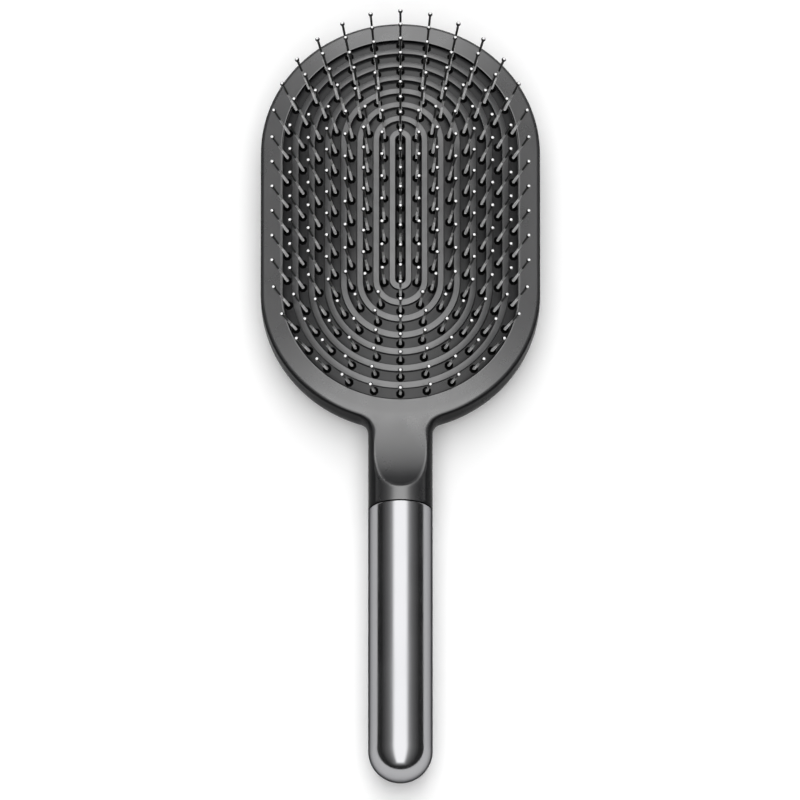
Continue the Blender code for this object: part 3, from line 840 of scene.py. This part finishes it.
        slope = self.inner_edge * (1 - math.cos(math.pi / 4))
        rim = self.head.rim_height
        hidden = [
            (recess, self.pocket_floor),
            (self.pocket_half_width, self.pocket_floor),
            (self.pocket_half_width, self.flange_underside),
            (opening, self.flange_underside),
            (opening, rim - 2 * self.inner_edge),
            (opening, rim - self.inner_edge),
            (opening + slope, rim - slope),
        ]
        tail = np.broadcast_to(np.array(hidden)[None, :, :], (count, len(hidden), 2))
        section = np.concatenate([top, side, bottom, tail], axis=1)
        points = np.empty((section.shape[1], count, 3))
        points[..., 0] = (ways[:, 0, None] * section[..., 0]).T
        points[..., 1] = (cores[:, None] + ways[:, 1, None] * section[..., 0]).T
        points[..., 2] = section[..., 1].T
        return points

    def build_body(self) -> bpy.types.Object:
        """Turns a plain ring with as many facets as the skin has, then draws each point to its place.

        Returns:
            Rim, wall, shoulders and neck as one closed piece.
        """
        points = self.skin()
        rings, sides = points.shape[:2]
        profile = [(self.head.half_width, ring * MM) for ring in range(rings)]
        piece = lathe("paddle_frame_moulding", profile, sides, closed=True)
        block = coordinates(piece)
        ring = np.rint(block[:, 2] / MM).astype(int)
        turn = np.arctan2(block[:, 1], block[:, 0]) / (2 * math.pi) * sides
        facet = np.unique(np.round(turn % sides, 2) % sides, return_inverse=True)[1]
        set_coordinates(piece, points[ring, facet] + np.array([0, self.head.centre_y, 0]))
        edit(piece)
        bpy.ops.mesh.select_all(action="SELECT")
        bpy.ops.mesh.normals_make_consistent(inside=False)
        leave_edit()
        return piece

    def build_tang(self) -> bpy.types.Object:
        """Turns the tang that the handle sleeve slides on, with its two ring grooves.

        Returns:
            The tang, along the handle's axis.
        """
        profile = [(0, -self.tang_chamfer), (self.tang_radius, -self.tang_chamfer)]
        floor = self.tang_radius - self.groove_depth
        for setback in self.groove_setbacks:
            near = setback - self.groove_half
            away = setback + self.groove_half
            profile += [(self.tang_radius, near), (floor, near), (floor, away), (self.tang_radius, away)]
        tip = self.tang_length
        profile += [
            (self.tang_radius, tip - self.tang_chamfer),
            (self.tang_radius - self.tang_chamfer, tip),
            (0, tip),
        ]
        tang = lathe("tang", profile, self.tang_sides)
        lay_along_handle(tang, self.head.centre_y - self.neck_end, self.handle_radius)
        return tang

    def build(self) -> bpy.types.Object:
        """Builds the moulding with its tang.

        Returns:
            The finished piece.
        """
        body = self.build_body()
        tang = self.build_tang()
        select_only(body)
        tang.select_set(True)
        bpy.ops.object.join()
        return finish_piece(body, SATIN_ABS, Body.BRUSH.value, ["paddle_frame"])


def lay_along_handle(piece: bpy.types.Object, start_y: float, height: float) -> None:
    """Lays a piece turned about Z along the handle, its foot at start_y and its top towards the end.

    Args:
        piece: the turned piece.
        start_y: where its height of zero goes.
        height: height of the handle's axis.
    """
    select_only(piece)
    piece.rotation_euler = (math.pi / 2, 0, 0)
    piece.location = (0, start_y, height)
    bpy.ops.object.transform_apply(location=True, rotation=True, scale=True)


@dataclass
class CushionPad:
    """Ribbed membrane over the air space."""

    head: Head
    loops: int = 7
    loop_pitch: float = 5.0 * MM
    rib_width: float = 1.8 * MM
    channel_depth: float = 2.0 * MM
    web: float = 1.2 * MM
    edge_gap: float = 0.4 * MM
    flange_width: float = 1.1 * MM
    flange_top: float = 14.7 * MM
    flange_bottom: float = 13.2 * MM
    ring_step: float = 1.5 * MM
    inner_step: float = 1.3 * MM
    web_steps: int = 8
    core_share: float = 0.05
    eye: float = 0.3 * MM
    rib_rounding: float = 0.1 * MM
    sides: int = 144
    smooth_angle: float = math.radians(20)
    press_drop: float = 3.7 * MM
    press_height: float = 13.1 * MM

    def profile(self) -> list[tuple[float, float]]:
        """Section at the end of the core line, from the top's middle round to the underside's middle.

        Returns:
            (offset, height) points.
        """
        head = self.head
        end = head.straight_half
        half_rib = self.rib_width / 2

        def over(offset: float, below: float) -> tuple[float, float]:
            """Point at an offset, below the rib tops."""
            return (offset, head.dome(offset, end) - below)

        points = [over(self.eye, self.channel_depth)]
        for ring in range(1, self.loops + 1):
            middle = (ring - 1 / 2) * self.loop_pitch
            inside = middle - half_rib
            outside = middle + half_rib
            points += [over(inside, self.channel_depth), over(inside, 0)]
            points += [over(outside, 0), over(outside, self.channel_depth)]
        edge = head.opening - self.edge_gap
        flange_outer = head.opening + self.flange_width
        flange_inner = head.opening - self.ring_step
        points += [
            over(edge, self.channel_depth),
            (edge, self.flange_top),
            (flange_outer, self.flange_top),
            (flange_outer, self.flange_bottom),
            (flange_inner, self.flange_bottom),
        ]
        web_outer = flange_inner - self.inner_step
        depth = self.channel_depth + self.web
        shares = np.linspace(1, self.core_share, self.web_steps)
        points += [over(web_outer * share, depth) for share in shares]
        return [(float(offset), float(height)) for offset, height in points]

    def build(self) -> bpy.types.Object:
        """Builds the pad and ties it to the brush's body.

        Returns:
            The finished piece.
        """
        pad = lathe("cushion_pad_ribbed", self.profile(), self.sides)
        bevel_edges(pad, self.rib_rounding)
        self.head.stretch(pad)
        self.head.lift(pad)
        self.head.place(pad)
        body = Body.BRUSH.value
        finish_piece(pad, CUSHION_RUBBER, body, ["cushion_pad"], self.smooth_angle)
        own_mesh(pad)
        return pad


@dataclass
class PinLoops:
    """Strips of ball-tipped pins that lie in the pad's channels."""

    head: Head
    pad: CushionPad
    strip_width: float = 3.0 * MM
    strip_thickness: float = 0.8 * MM
    strip_gap: float = 0.3 * MM
    strip_rounding: float = 0.06 * MM
    strip_ridge: float = 0.32 * MM
    ridged_loops: int = 4
    pin_length: float = 18.4 * MM
    ball_radius: float = 0.76 * MM
    ball_rings: tuple[float, ...] = (
        math.radians(35),
        math.radians(60),
        math.radians(90),
        math.radians(135),
    )
    shaft: tuple[tuple[float, float], ...] = (
        (0.38 * MM, 16.7 * MM),
        (0.36 * MM, 11.0 * MM),
        (0.36 * MM, 7.0 * MM),
        (0.50 * MM, 1.2 * MM),
        (0.42 * MM, 0.4 * MM),
    )
    # Heights where the foot's and the waist's painted highlight end.
    highlight_heights: tuple[float, float] = (7.1 * MM, 11.1 * MM)
    # Radius and rise of the near-black disc round each foot, painted shade.
    shade_disc_radius: float = 1.42 * MM
    shade_disc_rise: float = 0.06 * MM
    pin_root: float = 0.3 * MM
    pin_sides: int = 8
    counts: tuple[int, ...] = (9, 18, 24, 26, 32, 34, 36, 38)
    loop_lean: float = math.radians(2.2)
    end_lean: float = math.radians(7)
    ring_sides: int = 128

    def channel_offset(self, index: int) -> float:
        """Middle of a channel; the outermost one is bounded by the pad's edge."""
        if index < self.pad.loops:
            return index * self.pad.loop_pitch
        channel = self.pad.loop_pitch - self.pad.rib_width
        inner = self.pad.loops * self.pad.loop_pitch - channel / 2
        return (self.head.opening - self.pad.edge_gap + inner) / 2

    def strip_top(self, offset: float, core_y: float) -> float:
        """Front face of a strip, lying on the floor of its channel."""
        below = self.pad.channel_depth - self.strip_gap - self.strip_thickness
        return float(self.head.dome(offset, core_y)) - below

    def ridge(self, index: int) -> float:
        """Height of a strip's ridge, which the outer strips, lying aslant, do without."""
        return self.strip_ridge * max(0.0, 1 - index / self.ridged_loops)

    def build_strip(self, index: int) -> bpy.types.Object:
        """Turns one strip and draws it out to the loop's shape.

        Args:
            index: 0 for the centre row, then outwards.

        Returns:
            The strip, round the head's centre.
        """
        middle = self.channel_offset(index)
        half = self.strip_width / 2
        end = self.head.straight_half
        outside = middle + half
        inside = max(middle - half, self.pad.eye)
        ridge = self.ridge(index)
        section = [
            (outside, self.strip_top(outside, end) - self.strip_thickness),
            (outside, self.strip_top(outside, end) - ridge),
            (inside, self.strip_top(inside, end) - ridge),
            (inside, self.strip_top(inside, end) - self.strip_thickness),
        ]
        section.insert(2, (max(middle, 2 * self.pad.eye), self.strip_top(middle, end)))
        strip = lathe(f"strip_{index}", section, self.ring_sides, closed=index > 0)
        bevel_edges(strip, self.strip_rounding)
        self.head.stretch(strip)
        self.head.lift(strip)
        self.flatten_bends(strip, index)
        self.head.place(strip)
        strip.data.materials.append(STRIP_NYLON.material())
        return strip

    def flatten_bends(self, strip: bpy.types.Object, index: int) -> None:
        """Lets the strip's ridge run out where it bends round the ends of the head.

        Args:
            strip: the strip, round the origin.
            index: its loop.
        """
        middle = self.channel_offset(index)
        ridge = self.ridge(index)
        points = coordinates(strip)
        core = np.clip(points[:, 1], -self.head.straight_half, self.head.straight_half)
        offset = np.maximum(np.hypot(points[:, 0], points[:, 1] - core), self.pad.eye)
        across = np.clip(np.abs(offset - middle) / (self.strip_width / 2), 0, 1)
        bend = 1 - np.clip(np.abs(points[:, 0]) / offset, 0, 1) ** 2
        underside = self.head.dome(offset, core) - self.pad.channel_depth + self.strip_gap
        is_top = points[:, 2] - underside > (self.strip_thickness - ridge) / 2
        points[:, 2] += np.where(is_top, ridge * across * bend, 0)
        set_coordinates(strip, points)

    def build_pin(self) -> bpy.types.Object:
        """Turns the one pin that all the others are copied from, standing at the origin.

        Returns:
            The pin, with a finish of its own for each part: a painted-shade disc round the foot, a foot and
            waist with painted highlight, the black upper part, and a ball tip with painted highlight.
        """
        ball = self.pin_length - self.ball_radius
        profile = [(0, self.pin_length)]
        for angle in self.ball_rings:
            rise = self.ball_radius * math.cos(angle)
            profile.append((self.ball_radius * math.sin(angle), ball + rise))
        profile += [
            *self.shaft,
            (self.shade_disc_radius, self.shade_disc_rise),
            (self.shade_disc_radius, -self.pin_root),
            (0, -self.pin_root),
        ]
        pin = lathe("pin", profile, self.pin_sides)
        # Painted light on every pin: the disc at the foot is painted shade; the foot, waist and ball cap
        # are painted highlight.
        for finish in (SOCKET_SHADE, PIN_FOOT_HIGHLIGHT, PIN_WAIST_HALF_HIGHLIGHT, PIN_NYLON, BALL_HIGHLIGHT):
            pin.data.materials.append(finish.material())
        # Faces above the cap's ring take the ball tip's painted highlight.
        cap = ball + self.ball_radius * math.cos(self.ball_rings[0])
        limits = (self.shaft[-1][1], *self.highlight_heights, cap)
        for face in pin.data.polygons:
            face.material_index = sum(face.center.z > limit for limit in limits)
        select_only(pin)
        bpy.ops.object.shade_smooth()
        return pin

    def loop_place(self, offset: float, distance: float) -> tuple[float, Vector]:
        """Place on a loop, a distance round it from the top of the head.

        Args:
            offset: the loop's offset from the core line.
            distance: way along it.

        Returns:
            Place on the core line, and the direction outwards.
        """
        half = self.head.straight_half
        quarter = offset * math.pi / 2
        half_loop = 2 * quarter + 2 * half
        side = 1 if distance <= half_loop else -1
        along = distance if side > 0 else 2 * half_loop - distance
        if along < quarter:
            angle = along / offset
            core_y = half
        elif along <= quarter + 2 * half:
            angle = math.pi / 2
            core_y = half - (along - quarter)
        else:
            angle = math.pi / 2 + (along - quarter - 2 * half) / offset
            core_y = -half
        return core_y, Vector((side * math.sin(angle), math.cos(angle), 0))

    def pin_matrix(self, index: int, core_y: float, outward: Vector) -> Matrix:
        """Stands a pin on its strip, leaning outwards more on the outer loops.

        Args:
            index: the loop.
            core_y: place along the core line.
            outward: direction away from it.

        Returns:
            The pin's place and turn.
        """
        offset = self.channel_offset(index)
        foot = Vector((0, core_y + self.head.centre_y, 0)) + outward * offset
        foot.z = self.strip_top(offset, core_y)
        lean = math.tan(self.loop_lean * index)
        end_share = core_y / self.head.straight_half * (1 - index / self.pad.loops)
        axis = Vector((0, math.tan(self.end_lean) * end_share, 1)) + outward * lean
        turn = Vector((0, 0, 1)).rotation_difference(axis).to_matrix().to_4x4()
        return Matrix.Translation(foot) @ turn

    def places(self, index: int) -> list[Matrix]:
        """Places of all the pins of a loop."""
        half = self.head.straight_half
        count = self.counts[index]
        if index == 0:
            across = Vector((1, 0, 0))
            return [self.pin_matrix(0, float(y), across) for y in np.linspace(-half, half, count)]
        offset = self.channel_offset(index)
        length = 2 * math.pi * offset + 4 * half
        spots = [self.loop_place(offset, length * step / count) for step in range(count)]
        return [self.pin_matrix(index, core_y, outward) for core_y, outward in spots]

    def build(self) -> list[bpy.types.Object]:
        """Builds the centre row and the loops.

        Returns:
            One piece for each row or loop.
        """
        pattern = self.build_pin()
        pieces = []
        for index in range(len(self.counts)):
            strip = self.build_strip(index)
            copies = []
            for matrix in self.places(index):
                copy = pattern.copy()
                copy.data = pattern.data.copy()
                copy.matrix_world = matrix
                bpy.context.scene.collection.objects.link(copy)
                copies.append(copy)
            select_only(strip)
            bpy.ops.object.shade_smooth_by_angle(angle=self.pad.smooth_angle)
            for copy in copies:
                copy.select_set(True)
            bpy.ops.object.join()
            node = f"pin_loop_{index}" if index else "pin_row_centre"
            body = f"loop_{index}_pins" if index else Body.CENTRE_PINS.value
            strip.name = f"{node}_moulding"
            tie_piece(strip, body, [node])
            pieces.append(strip)
        bpy.data.objects.remove(pattern)
        return pieces


@dataclass
class HandleSleeve:
    """Polished metal tube over the tang, closed by a hemisphere."""

    head: Head
    radius: float = 9.95 * MM
    wall: float = 1.2 * MM
    start: float = 94.4 * MM
    length: float = 89.2 * MM
    lip: float = 0.3 * MM
    lip_steps: int = 4
    end_steps: int = 16
    inner_steps: int = 8
    length_steps: int = 10
    sides: int = 96

    def build(self) -> bpy.types.Object:
        """Turns the tube, outside first, with a rolled lip at its mouth.

        Returns:
            The finished piece.
        """
        ball = self.length - self.radius
        inner = self.radius - self.wall
        profile = [(inner, 3 * self.lip), (inner, self.lip)]
        for angle in np.linspace(math.pi, math.pi / 2, self.lip_steps)[1:]:
            turn = self.lip * math.cos(angle)
            profile.append((inner + self.lip + turn, self.lip - self.lip * math.sin(angle)))
        for angle in np.linspace(math.pi / 2, 0, self.lip_steps):
            turn = self.lip * math.cos(angle)
            profile.append((self.radius - self.lip + turn, self.lip - self.lip * math.sin(angle)))
        for along in np.linspace(2 * self.lip, ball, self.length_steps):
            profile.append((self.radius, float(along)))
        for angle in np.linspace(0, math.pi / 2, self.end_steps)[1:-1]:
            profile.append((self.radius * math.cos(angle), ball + self.radius * math.sin(angle)))
        profile.append((0, self.length))
        outer = lathe("handle_sleeve_outside", profile, self.sides)
        return self.hollow(outer, ball, inner)

    def hollow(self, outer: bpy.types.Object, ball: float, inner: float) -> bpy.types.Object:
        """Opens the mouth and joins the bore on.

        Args:
            outer: the closed outside.
            ball: where the round end begins.
            inner: radius of the bore.

        Returns:
            The finished sleeve.
        """
        mouth = 3 * self.lip
        edit(outer)
        bpy.ops.mesh.select_mode(type="FACE")
        leave_edit()
        for face in outer.data.polygons:
            face.select = len(face.vertices) > 4
        bpy.ops.object.mode_set(mode="EDIT")
        bpy.ops.mesh.delete(type="ONLY_FACE")
        leave_edit()
        across, along, height = coordinates(outer).T
        at_radius = np.isclose(np.hypot(across, along), inner, atol=TOLERANCE)
        select_points(outer, at_radius & np.isclose(height, mouth, atol=TOLERANCE))
        bore = [(inner, ball)]
        for angle in np.linspace(0, math.pi / 2, self.inner_steps)[1:-1]:
            bore.append((inner * math.cos(angle), ball + inner * math.sin(angle)))
        bore.append((0, ball + inner))
        draw_rings((inner, mouth), bore)
        bpy.ops.mesh.select_all(action="SELECT")
        bpy.ops.mesh.normals_make_consistent(inside=False)
        leave_edit()
        outer.name = "handle_sleeve_tube"
        lay_along_handle(outer, self.head.centre_y - self.start, self.radius)
        return finish_piece(outer, DARK_PLATING, Body.BRUSH.value, ["handle_sleeve"])


@dataclass
class BackCover:
    """Dish that closes the head's back and carries the wall's bowl on to a flat on the table."""

    head: Head
    half_width: float = 40.9 * MM
    ledge: float = 5.7 * MM
    floor: float = 2.4 * MM
    skirt: float = 1.4 * MM
    skirt_top: float = 9.3 * MM
    fillet: float = 2.4 * MM
    bowl_steps: int = 10
    fillet_steps: int = 5
    vent_radius: float = 1.25 * MM
    vent_y: float = -45.0 * MM
    vent_sides: int = 32
    sides: int = 144

    def build(self) -> bpy.types.Object:
        """Turns the dish with the skirt that stands inside the frame's wall, and drills the vent.

        Returns:
            The finished piece.
        """
        inner = self.half_width - self.skirt
        flat = self.head.half_width - self.head.bowl_tuck
        profile = [(flat - self.fillet, 0)]
        edge_angle = math.acos(1 - self.ledge / self.head.belly)
        for angle in np.linspace(0, edge_angle, self.bowl_steps + 1):
            height = self.head.belly * (1 - math.cos(angle))
            profile.append((flat + self.head.bowl_tuck * math.sin(angle), height))
        profile += [(self.half_width, height) for height in (self.ledge, self.skirt_top)]
        profile += [(inner, self.skirt_top)]
        for angle in np.linspace(0, math.pi / 2, self.fillet_steps + 1):
            across = inner - self.fillet * (1 - math.cos(angle))
            profile.append((across, self.floor + self.fillet * (1 - math.sin(angle))))
        profile += [(inner - 2 * self.fillet, self.floor)]
        cover = lathe("back_cover_shell", profile, self.sides)
        self.head.stretch(cover)
        self.head.place(cover)
        select_only(None)
        bpy.ops.mesh.primitive_cylinder_add(
            vertices=self.vent_sides,
            radius=self.vent_radius,
            depth=3 * self.floor,
            location=(0, self.head.centre_y + self.vent_y, self.floor / 2),
        )
        drill = bpy.context.active_object
        bpy.ops.object.transform_apply(location=True, rotation=True, scale=True)
        select_only(cover)
        vent = cover.modifiers.new("vent", "BOOLEAN")
        vent.operation = "DIFFERENCE"
        vent.solver = "EXACT"
        vent.object = drill
        bpy.ops.object.modifier_apply(modifier=vent.name)
        bpy.data.objects.remove(drill)
        # The cover's darker colour and weak reflection are painted shade, matching the frame's walls.
        return finish_piece(cover, BACK_ABS_PAINTED_DARK, Body.BRUSH.value, ["back_cover"])


@dataclass
class HiddenParts:
    """Clamping ring, screws and rubber rings, which stay as packed and get their finishes."""

    screws: int = 8

    def dress(self) -> None:
        """Gives each node its finish."""
        finishes = {
            "pad_retaining_ring": BACK_ABS_PAINTED_DARK,
            "sleeve_ring_front": RING_RUBBER,
            "sleeve_ring_rear": RING_RUBBER,
        }
        for number in range(1, self.screws + 1):
            finishes[f"clamp_screw_{number}"] = ZINC_STEEL
        for name, finish in finishes.items():
            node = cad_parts[name]
            for slot in node.material_slots:
                slot.material = finish.material()
            LOG.info("%s: %s", name, finish.name)


@dataclass
class Lamp:
    """Rectangular soft lamp that hangs level over the table."""

    name: str
    centre: tuple[float, float, float]
    size: tuple[float, float]
    radiance: float

    def add(self) -> None:
        """Adds the lamp at its place."""
        light = bpy.data.lights.new(self.name, "AREA")
        light.shape = "RECTANGLE"
        light.size = self.size[0]
        light.size_y = self.size[1]
        light.energy = math.pi * self.size[0] * self.size[1] * self.radiance
        lamp = bpy.data.objects.new(self.name, light)
        lamp.location = self.centre
        lamp.visible_camera = False
        bpy.context.scene.collection.objects.link(lamp)


@dataclass
class Studio:
    """White table, one long soft lamp overhead that dims towards its sides, and the camera."""

    aim: tuple[float, float, float] = (-0.13 * MM, -1.6 * MM, 17.2 * MM)
    elevation: float = math.radians(68.2)
    distance: float = 11.0
    field_width: float = 246.9 * MM
    sensor: float = 36.0
    far_clip: float = 20.0
    floor_half: float = 4.0
    floor_hex: str = "f9f9f9"
    floor_lift: float = 0.07
    surround: float = 0.044
    box_height: float = 1.2
    box_near: float = math.radians(-62)
    box_near_growth: float = math.radians(-2)
    box_far: float = math.radians(68)
    box_gap: float = 0.03
    box_radiance: float = 2.25
    box_steps: tuple[tuple[float, float], ...] = (
        (20, 0.20),
        (25, 0.30),
        (28, 0.20),
        (32, 0.10),
        (38, 0.08),
        (46, 0.05),
        (56, 0.04),
        (66, 0.03),
    )

    def add_camera(self) -> None:
        """Adds the camera at the photograph's angle."""
        data = bpy.data.cameras.new("portrait")
        data.sensor_width = self.sensor
        data.lens = self.sensor * self.distance / self.field_width
        data.clip_end = self.far_clip
        camera = bpy.data.objects.new("portrait", data)
        way = Vector((0, -math.cos(self.elevation), math.sin(self.elevation)))
        camera.location = Vector(self.aim) + way * self.distance
        camera.rotation_euler = (math.pi / 2 - self.elevation, 0, 0)
        bpy.context.scene.collection.objects.link(camera)
        bpy.context.scene.camera = camera

    def add_floor(self) -> None:
        """Adds the table: white where it is lit, lifted a little for the eye, with the brush's shadow."""
        select_only(None)
        bpy.ops.mesh.primitive_plane_add(size=2 * self.floor_half)
        floor = bpy.context.active_object
        floor.name = "table"
        paper = bpy.data.materials.new("white table paper")
        paper.use_nodes = True
        tree = paper.node_tree
        tree.nodes.clear()
        matt = add_node(tree, "ShaderNodeBsdfDiffuse", values={"Color": linear_colour(self.floor_hex)})
        rays = add_node(tree, "ShaderNodeLightPath")
        seen = rays.outputs["Is Camera Ray"]
        for kind in ("Is Glossy Ray", "Is Transmission Ray"):
            inputs = {0: seen, 1: rays.outputs[kind]}
            seen = add_node(tree, "ShaderNodeMath", {"operation": "MAXIMUM"}, links=inputs).outputs["Value"]
        lift = add_node(tree, "ShaderNodeMath", {"operation": "MULTIPLY"}, {1: self.floor_lift}, {0: seen})
        white = add_node(tree, "ShaderNodeEmission", links={"Strength": lift.outputs["Value"]})
        lifted = add_node(tree, "ShaderNodeAddShader", links={0: matt.outputs[0], 1: white.outputs[0]})
        add_node(tree, "ShaderNodeOutputMaterial", links={"Surface": lifted.outputs[0]})
        floor.data.materials.append(paper)

    def add_lamps(self) -> None:
        """Adds the soft lamps and the dim room round them."""
        for number, (degrees, share) in enumerate(self.box_steps):
            height = self.box_height + number * self.box_gap
            near = height * math.tan(self.box_near + number * self.box_near_growth)
            far = height * math.tan(self.box_far)
            size = (2 * height * math.tan(math.radians(degrees)), far - near)
            middle = (0.0, (near + far) / 2, height)
            Lamp(f"softbox {degrees}", middle, size, share * self.box_radiance).add()
        world = bpy.context.scene.world or bpy.data.worlds.new("dim room")
        bpy.context.scene.world = world
        world.use_nodes = True
        room = world.node_tree.nodes["Background"]
        room.inputs["Color"].default_value = (1, 1, 1, 1)
        room.inputs["Strength"].default_value = self.surround

    def build(self) -> None:
        """Builds the whole studio."""
        self.add_camera()
        self.add_floor()
        self.add_lamps()
        bpy.context.scene.view_settings.view_transform = "Standard"


def main() -> None:
    """Builds the studio and every piece of the brush."""
    logging.basicConfig(level=logging.INFO, format="%(name)s: %(message)s")
    Studio().build()
    head = Head()
    FrameMoulding(head).build()
    pad = CushionPad(head)
    pad.build()
    PinLoops(head, pad).build()
    HandleSleeve(head).build()
    BackCover(head).build()
    HiddenParts().dress()


if __name__ == "__main__":
    main()
